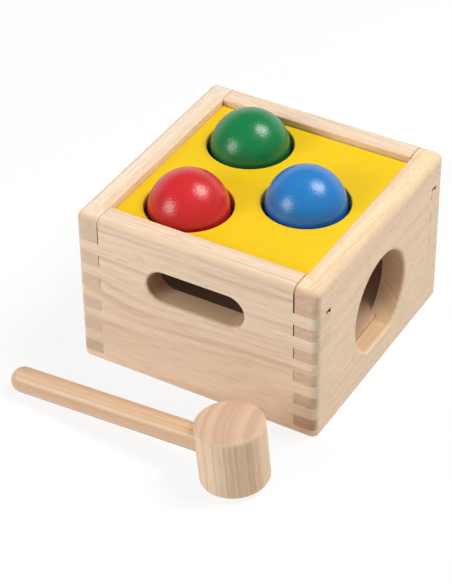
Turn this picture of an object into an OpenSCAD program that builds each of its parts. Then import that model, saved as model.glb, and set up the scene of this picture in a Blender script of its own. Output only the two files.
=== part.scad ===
// Ball drop box: a finger-jointed wooden box with three balls to knock through its top, and a mallet.
// Millimetres, +Z up, origin under the middle of the box. The front wall faces -Y and the outlet faces +X.

/* [Box] */
// Width of the box, across the front
box_w = 150; // [140:1:180]
// Depth of the box, front to back
box_d = 150; // [140:1:180]
// Height of the box
box_h = 100; // [98:1:120]
// Thickness of the four walls
wall_t = 14; // [12:0.5:16]
// Rounding of the upright outer edges
edge_r = 4.5; // [4.5:0.25:6]
// Rounding of the top outer edges
top_r = 4; // [2:0.25:4]
// Rounding of the bottom outer edges
foot_r = 3; // [1:0.25:3]
// Rounding of the inner top edges
lip_r = 1; // [0.5:0.25:1.5]

/* [Finger joints] */
// Height of one finger
finger_h = 7.75; // [7.25:0.05:7.75]
// Height of the lowest finger, on the front and back walls
first_finger_h = 5.7; // [5:0.1:6]
// Fingers at each end of a wall
finger_count = 6; // [6]
// Hairline gap at the shoulder of the highest right socket of the front and back walls
joint_gap = 0.85; // [0:0.05:1]
// Hairline gap at their highest left socket, and at the highest back socket of the side walls
far_joint_gap = 0.5; // [0:0.05:1]

/* [Hand slots] */
// Length of the slots in the front and back walls
slot_w = 60; // [50:1:80]
// Height of the slots
slot_h = 20; // [18:0.5:22]
// Height of the slots' middle above the base
slot_z = 68; // [66:0.5:69]
// Rounding of the edges of the slots and the outlet
soft_r = 2; // [1:0.25:2.5]

/* [Outlet] */
// Diameter of the outlet in the right wall
outlet_d = 59; // [54:1:60]
// Height of the outlet's middle above the base
outlet_z = 45; // [44:0.5:46]
// Height of the outlet's flat sill
sill_z = 18.5; // [17.5:0.25:19]

/* [Top board] */
// Depth of the top board below the rim
panel_recess = 4; // [3:0.5:6]
// Gap between the top board and the walls
panel_gap = 0.3; // [0.1:0.1:0.6]
// Diameter of the ball holes
hole_d = 50; // [48:0.5:50]
// Rounding of the holes and of the board's top edges
hole_edge_r = 0.8; // [0.4:0.1:1.2]
// Sideways distance of the holes from the middle
hole_x = 27.25; // [26:0.25:30]
// Distance of the red and green holes forward and back from the middle
hole_y = 34; // [30:0.5:34]

/* [Retainer board] */
// Thickness of the sheet under the top board
retainer_t = 3; // [2:0.5:4]
// Depth of its groove in the walls
retainer_groove = 5; // [3:0.5:6]
// Diameter of its holes
retainer_hole_d = 52; // [50:0.5:54]

/* [Grip rings] */
// Outer diameter of a ring
ring_d = 58; // [56:0.5:60]
// Diameter of the hole that the ball has to be struck through
ring_hole_d = 44; // [43:0.25:45]
// Thickness of the clamped rim
ring_t = 3.5; // [3:0.5:5]
// Thickness of the thin lip under the ball
ring_lip_t = 2; // [1:0.25:2.5]

/* [Balls] */
// Diameter of a ball
ball_d = 46; // [45.5:0.25:47]
// Room between a resting ball and its ring
ball_lift = 0.1; // [0.05:0.05:0.3]

/* [Floor] */
// Thickness of the sloping floor board
ramp_t = 5; // [4:0.5:5]
// Slope of the floor board down to the outlet, in degrees
ramp_slope = 6; // [3:0.5:7]
// Depth of its grooves in the walls
ramp_groove = 4; // [3:0.5:5]
// Height of its edge at the outlet above the sill
ramp_step = 1.5; // [0.5:0.25:1.75]
// Rounding of that edge
ramp_edge_r = 2; // [1.75:0.25:2.5]
// Thickness of the base board
base_t = 4; // [3:0.5:5]
// Width of the ledge that the base board is let into
base_ledge = 6; // [4:0.5:8]
// Room round a board in its groove
board_play = 0.1; // [0.05:0.05:0.2]

/* [Mallet] */
// Diameter of the head
head_d = 38.5; // [34:0.25:42]
// Length of the head between its two faces
head_l = 38; // [34:0.5:44]
// Rounding of the head's rims
head_edge_r = 2.5; // [1.5:0.5:4]
// Diameter of the handle
handle_d = 14.75; // [12:0.25:16]
// Distance from the handle's free end to the middle of the head
handle_reach = 145; // [120:0.5:160]
// Depth of the handle in the head
handle_sunk = 26; // [16:1:30]
// Place of the head's middle, to the right of the box's middle
mallet_x = 50.5; // [40:0.5:60]
// Place of the head's middle, in front of the box's middle
mallet_y = -122.5; // [-160:0.5:-118]
// Turn of the mallet away from the front wall's line, in degrees
mallet_turn = -2.2; // [-5:0.1:2]

/* [Hidden] */
$fn = 96;
// Overshoot of cutting shapes past the faces that they cut
past = 1;
wood = "burlywood";
plywood = "tan";
rubber = "linen";
inner_w = box_w - 2*wall_t;
inner_d = box_d - 2*wall_t;
// Heights of the fingers, as [bottom, top]: the front and back walls', the lowest of which runs past the
// bottom, then the side walls' in between, the highest of which runs past the top
cross_fingers = [for (i = [0 : finger_count - 1])
    [i == 0 ? -past : first_finger_h + (2*i - 1)*finger_h, first_finger_h + 2*i*finger_h]];
side_fingers = [for (i = [0 : finger_count - 1])
    [cross_fingers[i][1], i == finger_count - 1 ? box_h + past : cross_fingers[i + 1][0]]];
// The retainer sheet lies level with the top of the highest front finger, and the top board lies on it
retainer_z = cross_fingers[finger_count - 1][1] - retainer_t;
panel_z = retainer_z + retainer_t;
panel_t = box_h - panel_recess - panel_z;
panel_w = inner_w - 2*panel_gap;
panel_d = inner_d - 2*panel_gap;
red_at = [-hole_x, -hole_y];
green_at = [-hole_x, hole_y];
blue_at = [hole_x, 0];
// A ball sits on the upper inner edge of its ring
ball_z = panel_z + ring_t + sqrt(pow(ball_d/2, 2) - pow(ring_hole_d/2, 2)) + ball_lift;
// The floor board's upper right edge lies a step above the sill, at the foot of its groove
ramp_end_x = inner_w/2 + ramp_groove;
ramp_w = inner_d + 2*ramp_groove - 2*board_play;
ramp_l = (2*ramp_end_x - ramp_t*sin(ramp_slope) - 2*board_play)/cos(ramp_slope);
// The mallet lies on its handle's round end and on the rim of its head, which sets its tilt
rest_run = handle_reach - handle_d/2 - head_d/2 + head_edge_r;
rest_rise = head_l/2 - head_edge_r;
mallet_tilt = atan2(rest_rise, rest_run)
    - asin((handle_d/2 - head_edge_r)/norm([rest_run, rest_rise]));
head_z = (handle_reach - handle_d/2)*sin(mallet_tilt) + handle_d/2;

// Upright outline of the box or of a corner post, standing on the origin, its top and bottom corners rounded
module upright_outline(w) {
    translate([-w/2 + top_r, 0]) square([w - 2*top_r, box_h]);
    translate([-w/2, foot_r]) square([w, box_h - top_r - foot_r]);
    translate([-w/2 + foot_r, 0]) square([w - 2*foot_r, box_h/2]);
    for (x = [-1, 1]) {
        translate([x*(w/2 - top_r), box_h - top_r]) circle(top_r);
        translate([x*(w/2 - foot_r), foot_r]) circle(foot_r);
    }
}

// The whole box as one block, sanded round along every outer edge and at the corners
module rounded_block() {
    rotate([90, 0, 0]) linear_extrude(box_d - 2*edge_r, center = true) upright_outline(box_w);
    rotate([90, 0, 90]) linear_extrude(box_w - 2*edge_r, center = true) upright_outline(box_d);
    for (x = [-1, 1], y = [-1, 1])
        translate([x*(box_w/2 - edge_r), y*(box_d/2 - edge_r), 0]) rotate_extrude() intersection() {
            upright_outline(2*edge_r);
            square([edge_r, box_h]);
        }
}

// What rounding an edge takes away: the face is the X axis, and the hole or drop lies at X below 0
module edge_waste(r) {
    difference() {
        translate([-past, -r]) square([r + past, r + past]);
        translate([r, -r]) circle(r);
    }
}

// A round hole through a wall whose face is at Z = 0, with its mouth softened
module soft_hole(d, r, depth) {
    translate([0, 0, -depth]) cylinder(d = d, h = depth + past);
    rotate_extrude() translate([d/2, 0]) edge_waste(r);
}

// Waste along a straight edge that runs along Y, in a face at Z = 0, with the drop towards -X
module soft_edge(length, r) {
    rotate([90, 0, 0]) linear_extrude(length, center = true) edge_waste(r);
}

// Rounding of the inner rim of the box, along one wall's length and into both corners
module inner_lip(length, reach) {
    translate([reach, 0, box_h]) soft_edge(length + 2*lip_r, lip_r);
}

// The space for the retainer sheet and its grooves, as long across the front as w
module retainer_space(w) {
    d = inner_d + 2*retainer_groove;
    translate([-w/2, -d/2, retainer_z]) cube([w, d, retainer_t]);
}

// Puts a shape at the floor board's upper right edge, which is the Y axis, with the board below Z = 0
module at_ramp_edge() {
    translate([ramp_end_x, 0, sill_z + ramp_step]) rotate([0, ramp_slope, 0]) children();
}

// The sloping floor board before its edge is rounded, or with room added the grooves that hold it
module ramp_shape(room) {
    at_ramp_edge() translate([-ramp_l - room, -ramp_w/2 - room, -ramp_t])
        cube([ramp_l + 2*room, ramp_w + 2*room, ramp_t + room]);
}

// The space for the base board, let in flush with the bottom
module base_space() {
    w = inner_w + 2*base_ledge;
    d = inner_d + 2*base_ledge;
    translate([-w/2, -d/2, -past]) cube([w, d, base_t + past]);
}

// Sockets cut in a board's two ends for the other boards' fingers. The board's length runs along X. The gaps
// at their shoulders, first at the +X end and then at the -X end, close downwards to none at the two lowest
module finger_sockets(layers, half_length, gaps) {
    for (i = [0 : finger_count - 1], side = [0, 1]) {
        open = gaps[side]*max(0, i - 1)/(finger_count - 2);
        mirror([side, 0, 0]) translate([half_length - open, -past, layers[i][0]])
            cube([wall_t + open + past, wall_t + 2*past, layers[i][1] - layers[i][0]]);
    }
}

// Front and back walls: the board at -Y with its fingers, hand slot and grooves
module cross_wall() {
    difference() {
        intersection() {
            rounded_block();
            translate([-box_w/2, -box_d/2, 0]) cube([box_w, wall_t, box_h]);
        }
        translate([0, -box_d/2, 0]) finger_sockets(side_fingers, inner_w/2, [joint_gap, far_joint_gap]);
        translate([0, -box_d/2, slot_z]) rotate([90, 0, 0]) hand_slot();
        rotate([0, 0, -90]) inner_lip(inner_w, inner_d/2);
        retainer_space(box_w + 2*past);
        ramp_shape(board_play);
        base_space();
    }
}

// Side walls: the board at +X with its fingers and grooves
module side_wall() {
    difference() {
        intersection() {
            rounded_block();
            translate([inner_w/2, -box_d/2, 0]) cube([wall_t, box_d, box_h]);
        }
        rotate([0, 0, 90]) translate([0, -box_w/2, 0])
            finger_sockets(cross_fingers, inner_d/2, [far_joint_gap, 0]);
        inner_lip(inner_d, inner_w/2);
        retainer_space(inner_w + 2*retainer_groove);
        base_space();
    }
}

// Slot for a hand, with round ends and softened edges, through a wall whose face is at Z = 0
module hand_slot() {
    straight = slot_w - slot_h;
    for (x = [-1, 1]) translate([x*straight/2, 0, 0]) soft_hole(slot_h, soft_r, wall_t + past);
    translate([-straight/2, -slot_h/2, -wall_t - past]) cube([straight, slot_h, wall_t + 2*past]);
    for (turn = [90, -90]) rotate([0, 0, turn])
        translate([slot_h/2, 0, 0]) soft_edge(straight, soft_r);
}

// Round outlet with a flat sill, cut through the right wall: what lies both in the hole and above the sill
module outlet() {
    intersection() {
        translate([box_w/2, 0, outlet_z]) rotate([0, 90, 0]) soft_hole(outlet_d, soft_r, wall_t + past);
        translate([box_w/2, 0, sill_z]) {
            translate([-wall_t - past, -outlet_d, 0]) cube([wall_t + 2*past, 2*outlet_d, 2*outlet_d]);
            rotate([0, 90, 0]) soft_edge(2*outlet_d, soft_r);
        }
    }
}

module front_wall() {
    color(wood) cross_wall();
}

module back_wall() {
    color(wood) mirror([0, 1, 0]) cross_wall();
}

module left_wall() {
    color(wood) difference() {
        mirror([1, 0, 0]) side_wall();
        ramp_shape(board_play);
    }
}

module right_wall() {
    color(wood) difference() {
        side_wall();
        ramp_shape(board_play);
        outlet();
    }
}

module base_board() {
    w = inner_w + 2*base_ledge - 2*board_play;
    d = inner_d + 2*base_ledge - 2*board_play;
    color(plywood) translate([-w/2, -d/2, 0]) cube([w, d, base_t]);
}

// Floor board, rounded over where the balls leave it for the sill
module ramp_board() {
    color(plywood) difference() {
        ramp_shape(0);
        at_ramp_edge() mirror([1, 0, 0]) soft_edge(ramp_w + 2*past, ramp_edge_r);
    }
}

// Thin sheet that the top board and the rings lie on, with a hole under each ball
module retainer_board() {
    w = inner_w + 2*retainer_groove - 2*board_play;
    d = inner_d + 2*retainer_groove - 2*board_play;
    color(plywood) translate([0, 0, retainer_z]) difference() {
        translate([-w/2, -d/2, 0]) cube([w, d, retainer_t]);
        for (at = [red_at, green_at, blue_at])
            translate([at[0], at[1], -past]) cylinder(d = retainer_hole_d, h = retainer_t + 2*past);
    }
}

// Rubber ring clamped between the two boards, with a thin lip that gives way under a struck ball. It is cut
// straight where it would pass the edge of the top board
module grip_ring(at) {
    root_r = retainer_hole_d/2;
    taper = ring_t - ring_lip_t;
    color(rubber) intersection() {
        translate([at[0], at[1], panel_z]) rotate_extrude()
            polygon([[ring_d/2, 0], [ring_d/2, ring_t], [ring_hole_d/2, ring_t], [ring_hole_d/2, taper],
                [root_r - taper, taper], [root_r, 0]]);
        translate([-panel_w/2, -panel_d/2, panel_z - past]) cube([panel_w, panel_d, ring_t + 2*past]);
    }
}

module grip_ring_red() {
    grip_ring(red_at);
}

module grip_ring_green() {
    grip_ring(green_at);
}

module grip_ring_blue() {
    grip_ring(blue_at);
}

// Painted board with a hole for each ball, and a seat for each ring in its underside
module top_panel() {
    top = panel_z + panel_t;
    color("gold") difference() {
        translate([-panel_w/2, -panel_d/2, panel_z]) cube([panel_w, panel_d, panel_t]);
        for (side = [0, 1]) {
            mirror([side, 0, 0]) translate([panel_w/2, 0, top]) mirror([1, 0, 0])
                soft_edge(panel_d + 2*past, hole_edge_r);
            mirror([0, side, 0]) rotate([0, 0, 90]) translate([panel_d/2, 0, top]) mirror([1, 0, 0])
                soft_edge(panel_w + 2*past, hole_edge_r);
        }
        for (at = [red_at, green_at, blue_at]) {
            translate([at[0], at[1], top]) soft_hole(hole_d, hole_edge_r, panel_t + past);
            translate([at[0], at[1], panel_z - past])
                cylinder(d = ring_d + 2*board_play, h = ring_t + past);
        }
    }
}

module ball(at) {
    translate([at[0], at[1], ball_z]) sphere(d = ball_d);
}

module ball_red() {
    color("crimson") ball(red_at);
}

module ball_green() {
    color("seagreen") ball(green_at);
}

module ball_blue() {
    color("steelblue") ball(blue_at);
}

// Puts the mallet where it lies: modelled with its head upright at the origin and its handle along -X
module mallet_at_rest() {
    translate([mallet_x, mallet_y, head_z]) rotate([0, -mallet_tilt, mallet_turn]) children();
}

// Turned head with rounded rims and a blind bore in its side
module mallet_head() {
    r = head_d/2;
    color(wood) mallet_at_rest() difference() {
        rotate_extrude() {
            translate([0, -head_l/2]) square([r - head_edge_r, head_l]);
            translate([0, -head_l/2 + head_edge_r]) square([r, head_l - 2*head_edge_r]);
            for (y = [-1, 1])
                translate([r - head_edge_r, y*(head_l/2 - head_edge_r)]) circle(head_edge_r);
        }
        translate([handle_sunk - r, 0, 0]) rotate([0, -90, 0])
            cylinder(d = handle_d + 2*board_play, h = head_d);
    }
}

// Dowel handle, round at its free end and glued into the head
module mallet_handle() {
    inner_end = handle_sunk - head_d/2;
    color(wood) mallet_at_rest() {
        translate([inner_end, 0, 0]) rotate([0, -90, 0])
            cylinder(d = handle_d, h = handle_reach - handle_d/2 + inner_end);
        translate([handle_d/2 - handle_reach, 0, 0]) sphere(d = handle_d);
    }
}

front_wall();
back_wall();
left_wall();
right_wall();
base_board();
ramp_board();
retainer_board();
grip_ring_red();
grip_ring_green();
grip_ring_blue();
top_panel();
ball_red();
ball_green();
ball_blue();
mallet_head();
mallet_handle();
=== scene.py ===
import math

import bpy
from mathutils import Matrix, Vector


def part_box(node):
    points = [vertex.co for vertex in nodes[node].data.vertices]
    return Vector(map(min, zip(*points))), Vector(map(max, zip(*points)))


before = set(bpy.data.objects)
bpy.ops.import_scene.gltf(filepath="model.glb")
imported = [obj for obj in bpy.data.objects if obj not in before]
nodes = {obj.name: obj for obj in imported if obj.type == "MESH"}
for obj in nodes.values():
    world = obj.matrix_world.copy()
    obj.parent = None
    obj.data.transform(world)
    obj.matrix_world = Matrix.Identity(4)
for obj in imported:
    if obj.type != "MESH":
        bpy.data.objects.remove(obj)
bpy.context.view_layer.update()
bpy.ops.object.select_all(action="DESELECT")


# Camera: a long lens from the front right and well above the toy, turned a little about its own axis. It is
# placed in metres in the toy's own frame.
IMAGE_HEIGHT = 584
FOCAL_PIXELS = 2161.37
SENSOR_MM = 36
camera_place = Vector((0.47682, -0.85029, 0.78920))
camera_round, camera_up, camera_roll = (math.radians(a) for a in (30.5205, 38.1794, -0.7067))
camera_data = bpy.data.cameras.new("camera")
camera_data.sensor_width = SENSOR_MM
camera_data.lens = FOCAL_PIXELS * SENSOR_MM / IMAGE_HEIGHT
camera = bpy.data.objects.new("camera", camera_data)
bpy.context.scene.collection.objects.link(camera)
camera.matrix_world = (
    Matrix.Translation(camera_place)
    @ Matrix.Rotation(camera_round, 4, "Z")
    @ Matrix.Rotation(math.pi / 2 - camera_up, 4, "X")
    @ Matrix.Rotation(camera_roll, 4, "Z")
)
bpy.context.scene.camera = camera
bpy.context.scene.view_settings.view_transform = "Standard"


# Floor and light: a white light table in a white studio with a dim ceiling. One large soft box stands above
# the right and one low at the front left, and they give each ball its two highlights.
class Socket:
    """One output of a node, or only its tree to start from. Arithmetic on it adds Math nodes to the tree."""

    def __init__(self, tree, socket=None):
        self.tree, self.socket = tree, socket

    def node(self, kind, settings=None, inputs=None, output=0):
        """Adds a node of a kind: its settings are set first, then its inputs."""
        made = self.tree.nodes.new("ShaderNode" + kind)
        for key, value in (settings or {}).items():
            setattr(made, key, value)
        feed(made, inputs or {})
        return Socket(self.tree, made.outputs[output])

    def beside(self, output):
        """Another output of the same node."""
        return Socket(self.tree, self.socket.node.outputs[output])

    def math(self, operation, *values):
        """Adds a Math node on the values, of which this socket is one."""
        return self.node("Math", {"operation": operation}, dict(enumerate(values)))

    def __add__(self, other):
        return self.math("ADD", self, other)

    def __sub__(self, other):
        return self.math("SUBTRACT", self, other)

    def __rsub__(self, other):
        return self.math("SUBTRACT", other, self)

    def __mul__(self, other):
        return self.math("MULTIPLY", self, other)

    def __pow__(self, other):
        return self.math("POWER", self, other)

    def __abs__(self):
        return self.math("ABSOLUTE", self)

    __radd__, __rmul__ = __add__, __mul__


def feed(node, inputs):
    """Sets a node's inputs, each to a value or from another node."""
    for key, value in inputs.items():
        if isinstance(value, Socket):
            value.tree.links.new(value.socket, node.inputs[key])
        else:
            node.inputs[key].default_value = value


def tone(red, green, blue):
    """A colour given as it looks on a screen, 0 to 255, as the light values that a shader takes."""
    parts = (c / 255 for c in (red, green, blue))
    return (*(c / 12.92 if c <= 0.04045 else ((c + 0.055) / 1.055) ** 2.4 for c in parts), 1)


def mixed(share, first, second):
    """A colour between two, at a share from 0 to 1."""
    start = next(v for v in (share, first, second) if isinstance(v, Socket))
    return start.node("Mix", {"data_type": "RGBA"}, {0: share, 6: first, 7: second}, output=2)


def rise(value, low, high):
    """0 below low and 1 above high, with a soft step between. High may lie below low, for a fall."""
    if high < low:
        return 1 - rise(value, high, low)
    return value.node("MapRange", {"interpolation_type": "SMOOTHSTEP"},
                      {"Value": value, "From Min": low, "From Max": high})


def split(place):
    """The three parts of a place."""
    parts = place.node("SeparateXYZ", None, {0: place})
    return [parts.beside(axis) for axis in "XYZ"]


def ray_kinds(tree):
    """Shares of camera, glossy and transmission rays in a shader."""
    path = Socket(tree).node("LightPath")
    return [path.beside(f"Is {kind} Ray") for kind in ("Camera", "Glossy", "Transmission")]


FLOOR_SIZE = 8.0
table_seen, table_glow_seen = (0.15, 0.15, 0.15, 1), (0.85, 0.85, 0.85, 1)
table_cast, table_glow_cast = (0.25, 0.25, 0.245, 1), (0.52, 0.515, 0.505, 1)
bpy.ops.mesh.primitive_plane_add(size=FLOOR_SIZE, location=(0, 0, 0))
floor = bpy.context.object
floor.name = "floor"
table_white = bpy.data.materials.new("table_white")
table_white.use_nodes = True
seen, mirrored, through = ray_kinds(table_white.node_tree)
shown = seen + mirrored + through
feed(table_white.node_tree.nodes["Principled BSDF"], {
    "Base Color": mixed(shown, table_cast, table_seen),
    "Emission Color": mixed(shown, table_glow_cast, table_glow_seen),
    "Emission Strength": 1.0,
    "Roughness": 0.9,
    "Specular IOR Level": 0.0,
})
floor.data.materials.append(table_white)

# The studio is white where the camera looks. In gloss and glass, only its backdrop at the back left is.
STUDIO_LEVEL, RIGHT_SIDE_LEVEL = 0.15, 0.12
world = bpy.context.scene.world or bpy.data.worlds.new("studio")
bpy.context.scene.world = world
world.use_nodes = True
seen, mirrored, through = ray_kinds(world.node_tree)
right, back, above = split(Socket(world.node_tree).node("TexCoord", output="Generated"))
studio = STUDIO_LEVEL + right.math("MAXIMUM", right, 0) * RIGHT_SIDE_LEVEL
to_back_left = back * 0.86 - right * 0.5
backdrop = rise(to_back_left, 0.15, 0.75) * rise(above, 0.62, 0.30)
white = rise(seen + (mirrored + through) * backdrop, 0, 1)
feed(world.node_tree.nodes["Background"], {
    "Color": (1, 1, 1, 1), "Strength": white + studio * (1 - white),
})

LAMP_TARGET = Vector((0, 0, 0.08))


def soft_box(name, towards, distance, size, level):
    """A square lamp that faces the toy from a direction. At level 1 a white face turned to it looks white."""
    lamp = bpy.data.lights.new(name, "AREA")
    lamp.size = size
    lamp.energy = level * math.pi ** 2 * distance ** 2
    holder = bpy.data.objects.new(name, lamp)
    bpy.context.scene.collection.objects.link(holder)
    aim = Vector(towards).normalized()
    holder.location = LAMP_TARGET + aim * distance
    holder.rotation_euler = aim.to_track_quat("Z", "Y").to_euler()
    holder.visible_camera = False


soft_box("upper_right_box", towards=(0.41, 0.26, 0.87), distance=1.3, size=0.60, level=0.90)
soft_box("low_front_box", towards=(-0.48, -0.79, 0.39), distance=1.3, size=0.60, level=0.51)


# Walls: four boards of pale close-grained hardwood, sanded round and finger-jointed at the corners, glued.
# The grain runs along each board, so the finger ends show darker end grain. The wood is one solid texture.
MM = 0.001
TOP_ROUNDING, SILL, JOINT_GAP = 4 * MM, 18.5 * MM, 0.8 * MM
RINGS_PER_METRE = 75
right_low, right_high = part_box("right_wall")
retainer_low, retainer_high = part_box("retainer_board")
wall_reach, rim = right_high.x, right_high.z
wall_depth = right_high.x - right_low.x
groove_middle = (retainer_low.z + retainer_high.z) / 2
groove_half = (retainer_high.z - retainer_low.z) / 2


def new_finish(name):
    """A new material: itself, its shader and the place on the piece, in metres."""
    material = bpy.data.materials.new(name)
    material.use_nodes = True
    tree = material.node_tree
    return material, tree.nodes["Principled BSDF"], Socket(tree).node("TexCoord", output="Object")


def noise(place, stretch, detail=2.0, roughness=0.55):
    """Cloudy noise, with so many lumps to the metre along each axis."""
    scaled = place.node("VectorMath", {"operation": "MULTIPLY"}, {0: place, 1: stretch})
    return scaled.node("TexNoise", None,
                       {"Vector": scaled, "Scale": 1.0, "Detail": detail, "Roughness": roughness})


def wood_figure(place, heart, sway, pore_rate=80):
    """Wood's growth, each part 0 to 1, for a place turned so that X runs along the grain. Heart is where the
    tree's middle runs, sway how far the rings wander, and pore_rate how many pores follow in a metre."""
    along, across, up = split(place)
    bend = (noise(place, (5, 15, 15), 1.5) - 0.5) * sway
    ring = ((across - heart[0]) ** 2 + (up - heart[1]) ** 2) ** 0.5 + bend
    grown = place.node("CombineXYZ", None, {"X": along, "Y": ring, "Z": up * 0.1})
    age = ring * RINGS_PER_METRE + noise(grown, (2, 60, 20), 1) * 1.6
    year = age.math("FRACT", age)
    clouds = noise(grown, (2, 30, 12), 1.0)
    return {
        "warm": rise(clouds, 0.36, 0.64),
        "bands": noise(grown, (1.6, 150, 20), 2.0),
        "lines": noise(grown, (4, 640, 60), 2.0, 0.6),
        "late": rise(year, 0.45, 0.93) * rise(year, 1.0, 0.95),
        "late_patches": rise(clouds, 0.38, 0.62),
        "pores": rise(noise(place, (pore_rate, 1500, 1500), 0.0), 0.58, 0.74),
        "flecks": rise(noise(place, (pore_rate * 0.7, 640, 640), 1.0), 0.57, 0.76),
        "fibres": noise(place, (50, 2600, 2600), 1.0),
    }


def wood_colour(grown, warmth, strength, speckle, pale, warm, light, streak, rosy):
    """The colour of long grain: a ground between pale and warm, with light lines and darker streaks of a
    strength over it, and rosy flecks and dark pores of a speckle."""
    ground = mixed(warmth, pale, warm)
    banded = mixed(rise(grown["bands"], 0.46, 0.70) * 0.13 * strength, ground, streak)
    dated = mixed(grown["late"] * grown["late_patches"] * 0.13 * strength, banded, streak)
    lined = mixed(rise(grown["lines"], 0.47, 0.70) * 0.34 * strength, dated, streak)
    lit = mixed(rise(grown["lines"], 0.50, 0.30) * 0.38 * strength, lined, light)
    flecked = mixed(grown["flecks"] * 0.20 * speckle, lit, rosy)
    return mixed(grown["pores"] * 0.15 * speckle + grown["fibres"] * 0.08, flecked, streak)


def relief(height, depth):
    """A bump of so many metres from a height of 0 to 1."""
    return height.node("Bump", None, {"Strength": 1.0, "Distance": depth, "Height": height})


def finger_end(place, cells, light, dark, dark_height):
    """The end grain of a board's fingers, which turns from light to dark between two heights."""
    rings = noise(place, (160, 160, 420), 2)
    depth = rise(split(place)[2], *dark_height) * 0.62 + rise(rings, 0.38, 0.66) * 0.32 + cells * 0.14
    return mixed(depth, light, dark)


def cut_wood(outside, place, grown, cells, cut_end):
    """The colour of a wall with its warmer top edges and all that is cut below its outside: its openings, its
    inner face, the retainer's groove and the cracks at the fingers' shoulders. It paints shade deep in the
    openings, on the inner face, in the groove and in the cracks."""
    x, y, z = split(place)
    off_side, off_front = wall_reach - abs(x), wall_reach - abs(y)
    sunk = off_side.math("MINIMUM", off_side, off_front)
    off_corner = off_side.math("MAXIMUM", off_side, off_front)
    below_rim = rise(rim - z, TOP_ROUNDING + 0.2 * MM, TOP_ROUNDING + 1.5 * MM)
    flat_part = below_rim * rise(z, SILL - 1 * MM, SILL - 0.2 * MM)
    opened = flat_part * rise(off_corner, 6 * MM, 9 * MM)

    # The top edges, outside and inside, turn warmer and a little darker.
    outer_edge = rise(sunk, TOP_ROUNDING + 0.5 * MM, TOP_ROUNDING / 2)
    inner_edge = rise(sunk, wall_depth - 5.5 * MM, wall_depth - 2.5 * MM)
    top_edge_tint = (outer_edge + inner_edge) * rise(rim - z, TOP_ROUNDING + 0.5 * MM, TOP_ROUNDING / 2)
    edged = mixed(top_edge_tint * 0.45, outside, tone(237, 200, 162))

    # The openings show end grain at the slot's round ends and in the outlet, and a pale sill. Deeper in,
    # painted shade darkens the bore.
    slot_round = rise(abs(x), 23 * MM, 31 * MM)
    bored = mixed(slot_round, tone(246, 215, 178), cut_end)
    shaded = mixed(rise(sunk, 2 * MM, wall_depth - 1 * MM) * 0.25, bored, tone(120, 90, 66))
    silled = mixed(rise(z, SILL + 1 * MM, SILL + 9 * MM), tone(233, 198, 154), shaded)
    tooled = mixed(rise(grown["lines"], 0.44, 0.70) * 0.22 + cells * 0.12, silled, tone(156, 110, 76))
    # The bore's colour starts right at the outer edge, so it also paints shade over the lit rounding there.
    lined_out = mixed(rise(sunk, 0.05 * MM, 1.3 * MM) * opened, edged, tooled)

    # Painted shade: the inner face and the retainer's groove turn a darker grey.
    inner_face = rise(sunk, wall_depth - 0.15 * MM, wall_depth - 0.03 * MM) * opened
    in_groove = rise(abs(z - groove_middle), groove_half + 0.4 * MM, groove_half + 0.1 * MM)
    hollow = inner_face * 0.7 + rise(sunk, 1.6 * MM, 3 * MM) * in_groove
    hollowed = mixed(hollow, lined_out, tone(220, 209, 197))

    # Painted shade: the walls of the joints' hairline gaps are painted dark.
    off_shoulder = abs(off_corner - (wall_depth + JOINT_GAP / 2))
    shoulder = rise(off_shoulder, 0.7 * MM, 0.6 * MM) * flat_part
    inside_wall = rise(sunk, 0.02 * MM, 0.12 * MM) * rise(sunk, wall_depth - 0.2 * MM, wall_depth - 0.5 * MM)
    return mixed(shoulder * inside_wall, hollowed, tone(112, 50, 26))


def wall_finish(name, ends, turn, shift, heart, sway, strength, pore_rate, pale, warm, lower, cut_end,
                end_light, end_dark, dark_height):
    """Sanded hardwood with a thin matt oil. Ends is the axis that the board's ends lie on, turn and shift set
    it in the tree, lower is how much and over which depths below the rim it turns warm, cut_end the end grain
    in its openings, and dark_height where the end grain of its fingers turns dark."""
    material, shader, place = new_finish(name)
    turned = place.node("Mapping", None, {"Vector": place, "Location": shift, "Rotation": turn})
    grown = wood_figure(turned, heart, sway, pore_rate)
    share, shallow, deep = lower
    warmth = grown["warm"] * (1 - share) + rise(rim - split(place)[2], shallow, deep) * share
    long_grain = wood_colour(
        grown, warmth, strength, speckle=1.3, pale=pale, warm=warm,
        light=tone(254, 241, 222), streak=tone(188, 144, 110), rosy=tone(232, 182, 154))
    cells = noise(place, (1100, 1100, 1100), 1)
    end_share = rise(abs(split(place)[ends]), wall_reach - 3.6 * MM, wall_reach - 0.6 * MM)
    outside = mixed(end_share, long_grain, finger_end(place, cells, end_light, end_dark, dark_height))
    feed(shader, {
        "Base Color": cut_wood(outside, place, grown, cells, cut_end),
        "Roughness": 0.52 + grown["lines"] * 0.10 + end_share * 0.12,
        "Normal": relief(grown["fibres"] * 0.5 - grown["pores"] * 0.6, 0.10 * MM),
        "Specular IOR Level": 0.3,
    })
    return material


def dress(node, material):
    """Gives a CAD node its finish."""
    nodes[node].data.materials.clear()
    nodes[node].data.materials.append(material)


tilt, quarter = math.radians(1.5), math.pi / 2
pale_end, grey_end, slot_end = tone(243, 218, 188), tone(226, 206, 178), tone(184, 140, 103)
dress("front_wall", wall_finish(
    "front_wall_wood", ends=0, turn=(0, tilt, 0), shift=(3.60, 0.02, 0.05), heart=(0.11, 0.06),
    sway=0.012, strength=1.0, pore_rate=90, pale=tone(246, 222, 195), warm=tone(246, 215, 184),
    lower=(0.60, 25 * MM, 62 * MM), cut_end=slot_end,
    end_light=pale_end, end_dark=grey_end, dark_height=(56 * MM, 62 * MM)))
dress("back_wall", wall_finish(
    "back_wall_wood", ends=0, turn=(0, -tilt, 0), shift=(0.77, 0.11, 0.45), heart=(-0.12, -0.04),
    sway=0.007, strength=0.7, pore_rate=90, pale=tone(250, 226, 200), warm=tone(246, 217, 189),
    lower=(0.30, 25 * MM, 62 * MM), cut_end=slot_end,
    end_light=pale_end, end_dark=tone(237, 213, 184), dark_height=(56 * MM, 62 * MM)))
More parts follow.
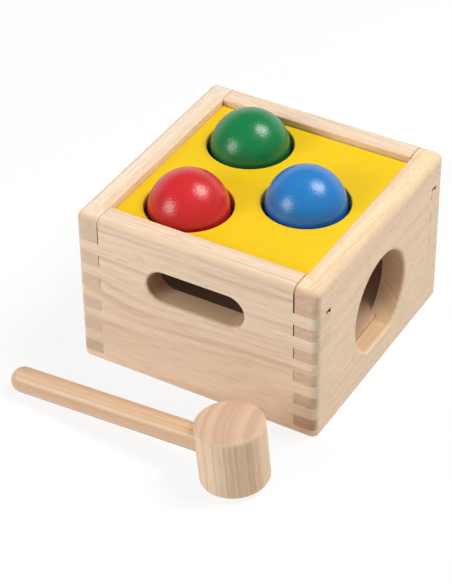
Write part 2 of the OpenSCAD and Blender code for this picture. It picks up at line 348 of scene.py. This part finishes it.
dress("left_wall", wall_finish(
    "left_wall_wood", ends=1, turn=(tilt, 0, quarter), shift=(0.13, 0.57, 0.21), heart=(0.10, 0.03),
    sway=0.007, strength=0.4, pore_rate=90, pale=tone(252, 232, 206), warm=tone(249, 225, 197),
    lower=(0.30, 25 * MM, 62 * MM), cut_end=slot_end,
    end_light=tone(225, 199, 174), end_dark=tone(207, 181, 157), dark_height=(20 * MM, 10 * MM)))
# The right wall keeps its pale tone on the rim and turns warm 5 mm down: a painted highlight along its lit
# top.
dress("right_wall", wall_finish(
    "right_wall_wood", ends=1, turn=(-tilt, 0, quarter), shift=(0.53, 0.29, 0.83), heart=(-0.15, 0.12),
    sway=0.007, strength=0.5, pore_rate=230, pale=tone(251, 228, 186), warm=tone(248, 219, 187),
    lower=(0.85, 0, 5 * MM), cut_end=tone(230, 190, 153),
    end_light=tone(226, 196, 168), end_dark=tone(194, 148, 120), dark_height=(34 * MM, 12 * MM)))


# Inner boards: the base, the sloping floor that the balls roll down, and the retainer sheet under the top.
# Thin raw plywood with a wide veneer figure, let into grooves in the walls.
def ply_finish(name, shift, pale, warm, far_shade):
    """Raw plywood, whose veneer turns a darker grey away from the outlet by a share: painted shade inside the
    box.
    """
    material, shader, place = new_finish(name)
    moved = place.node("Mapping", None, {"Vector": place, "Location": shift})
    grown = wood_figure(moved, heart=(0.02, 0.30), sway=0.020)
    veneer = wood_colour(
        grown, grown["warm"], strength=0.6, speckle=1.0, pale=pale, warm=warm,
        light=pale, streak=tone(160, 116, 86), rosy=tone(196, 146, 116))
    far_in = rise(split(place)[0], 45 * MM, 20 * MM)
    feed(shader, {
        "Base Color": mixed(far_in * far_shade, veneer, tone(214, 203, 191)),
        "Roughness": 0.60 + grown["lines"] * 0.10,
        "Normal": relief(grown["fibres"], 0.10 * MM),
        "Specular IOR Level": 0.25,
    })
    return material


dress("base_board", ply_finish(
    "base_ply", (0.2, 0.1, 0), tone(228, 200, 166), tone(214, 180, 142), far_shade=0))
dress("ramp_board", ply_finish(
    "ramp_ply", (0.5, 0.3, 0), tone(214, 178, 146), tone(200, 162, 130), far_shade=0.7))
dress("retainer_board", ply_finish(
    "retainer_ply", (0.7, 0.6, 0), tone(212, 194, 174), tone(202, 182, 160), far_shade=0))


# Grip rings: three rings of soft natural rubber, clamped one under each hole of the top board. Only their
# lips show round the balls, matt and a little dusty.
rubber, shader, place = new_finish("grip_rubber")
dust = noise(place, (300, 300, 300), 3)
feed(shader, {
    "Base Color": mixed(dust, tone(120, 104, 84), tone(142, 126, 104)),
    "Roughness": 0.6 + dust * 0.15,
    "Normal": relief(dust, 0.08 * MM),
})
for ring in ("grip_ring_red", "grip_ring_green", "grip_ring_blue"):
    dress(ring, rubber)


# Top board: a sheet let in below the rim, rolled with a satin yellow paint. The paint stops at the edges of
# its three holes, whose walls are bare wood.
HOLE_RADIUS = 25.0 * MM


def middle(node):
    """The middle of a CAD node's box."""
    low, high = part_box(node)
    return (low + high) / 2


paint, shader, place = new_finish("yellow_paint")
x, y, _ = split(place)
roller = noise(place, (650, 650, 650), 2)
cloud = noise(place, (22, 22, 22), 2)
yellow = mixed(cloud, tone(246, 206, 22), tone(241, 199, 18))
bare = 0
for hole in (middle("ball_red"), middle("ball_green"), middle("ball_blue")):
    away = ((x - hole.x) ** 2 + (y - hole.y) ** 2) ** 0.5
    bare = bare + rise(away + roller * 0.3 * MM, HOLE_RADIUS + 0.4 * MM, HOLE_RADIUS + 0.1 * MM)
bare_wood = mixed(noise(place, (400, 60, 900), 2), tone(236, 206, 160), tone(206, 166, 118))
feed(shader, {
    "Base Color": mixed(bare, yellow, bare_wood),
    "Roughness": 0.44 + roller * 0.10,
    "Normal": relief(roller, 0.05 * MM),
    "Specular IOR Level": 0.3,
})
dress("top_panel", paint)


# Balls: turned hardwood, dipped in coloured lacquer. Their lower half is painted deeper, as painted shade. It
# dried glossy, with a fine orange-peel that breaks up the highlights.
def lacquer(name, ball, bright, deep):
    """Gloss lacquer between a bright and a deep tone. Painted shade turns it deep from a ball's middle down,
    and clouds vary it.
    """
    material, shader, place = new_finish(name)
    equator = middle(ball).z
    peel = noise(place, (900, 900, 900), 1)
    cloud = noise(place, (35, 35, 35), 2)
    lower_half_shade = rise(split(place)[2], equator + 15 * MM, equator - 3 * MM)
    feed(shader, {
        "Base Color": mixed(lower_half_shade * 0.6 + cloud * 0.4 + peel * 0.15, bright, deep),
        "Roughness": 0.22 + peel * 0.08,
        "Normal": relief(peel, 0.13 * MM),
        "Specular IOR Level": 0.46,
    })
    return material


dress("ball_red", lacquer("red_lacquer", "ball_red", tone(221, 48, 50), tone(182, 25, 39)))
dress("ball_green", lacquer("green_lacquer", "ball_green", tone(26, 136, 74), tone(9, 98, 56)))
dress("ball_blue", lacquer("blue_lacquer", "ball_blue", tone(46, 134, 202), tone(10, 93, 188)))


# Mallet: a turned head with its grain from face to face, and a dowel handle glued into its side. It lies
# on the handle's round end and on the head's rim, so its wood is turned with it.
HANDLE_RADIUS, HEAD_HALF = 7.375 * MM, 19.0 * MM
handle_low, handle_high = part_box("mallet_handle")
head_middle = middle("mallet_head")
free_end = Vector((handle_low.x + HANDLE_RADIUS, handle_high.y - HANDLE_RADIUS, handle_low.z + HANDLE_RADIUS))
handle_line = (head_middle - free_end).normalized()
mallet_turn = (0, -math.asin(handle_line.z), math.atan2(handle_line.y, handle_line.x))


def mallet_place(place):
    """The place on the mallet, with its head upright in the middle and its handle along -X."""
    return place.node("Mapping", {"vector_type": "TEXTURE"},
                      {"Vector": place, "Location": head_middle, "Rotation": mallet_turn})


head_wood, shader, place = new_finish("mallet_head_wood")
upright = mallet_place(place)
grain_first = upright.node("Mapping", None, {"Vector": upright, "Rotation": (0, quarter, 0)})
grown = wood_figure(grain_first, heart=(0.017, -0.063), sway=0.004)
long_grain = wood_colour(
    grown, grown["warm"], strength=1.2, speckle=1.5, pale=tone(243, 217, 184), warm=tone(236, 202, 168),
    light=tone(250, 232, 204), streak=tone(184, 140, 104), rosy=tone(234, 184, 150))
fine_rings = rise(grown["bands"], 0.44, 0.70) * 0.16 + rise(grown["lines"], 0.48, 0.72) * 0.16
end_depth = fine_rings + grown["late"] * 0.26 + grown["pores"] * 0.12
end_grain = mixed(end_depth, tone(222, 188, 159), tone(172, 128, 98))
off_middle = abs(split(upright)[2])
head_end = rise(off_middle, HEAD_HALF - 2.2 * MM, HEAD_HALF - 0.4 * MM)
rounding = rise(off_middle, HEAD_HALF - 3.6 * MM, HEAD_HALF - 1.2 * MM)
# A painted highlight: the rounded rim at each end of the head turns lighter.
rim_highlight = rounding * rise(off_middle, HEAD_HALF, HEAD_HALF - 1 * MM)
feed(shader, {
    "Base Color": mixed(rim_highlight * 0.4, mixed(head_end, long_grain, end_grain), tone(243, 212, 166)),
    "Roughness": 0.46 + grown["lines"] * 0.10 + head_end * 0.1,
    "Normal": relief(grown["fibres"], 0.10 * MM),
    "Specular IOR Level": 0.4,
})
dress("mallet_head", head_wood)

handle_wood, shader, place = new_finish("mallet_handle_wood")
level = mallet_place(place)
grown = wood_figure(level, heart=(0.012, 0.03), sway=0.004)
# Painted shade: the handle's underside turns to the darker, pinker tone.
underside_shade = rise(split(level)[2], 3 * MM, -5 * MM)
feed(shader, {
    "Base Color": wood_colour(
        grown, underside_shade, strength=1.0, speckle=1.2, pale=tone(226, 188, 151), warm=tone(219, 178, 154),
        light=tone(242, 212, 174), streak=tone(196, 146, 108), rosy=tone(228, 172, 144)),
    "Roughness": 0.36 + grown["lines"] * 0.10,
    "Normal": relief(grown["fibres"], 0.08 * MM),
    "Specular IOR Level": 0.5,
})
dress("mallet_handle", handle_wood)
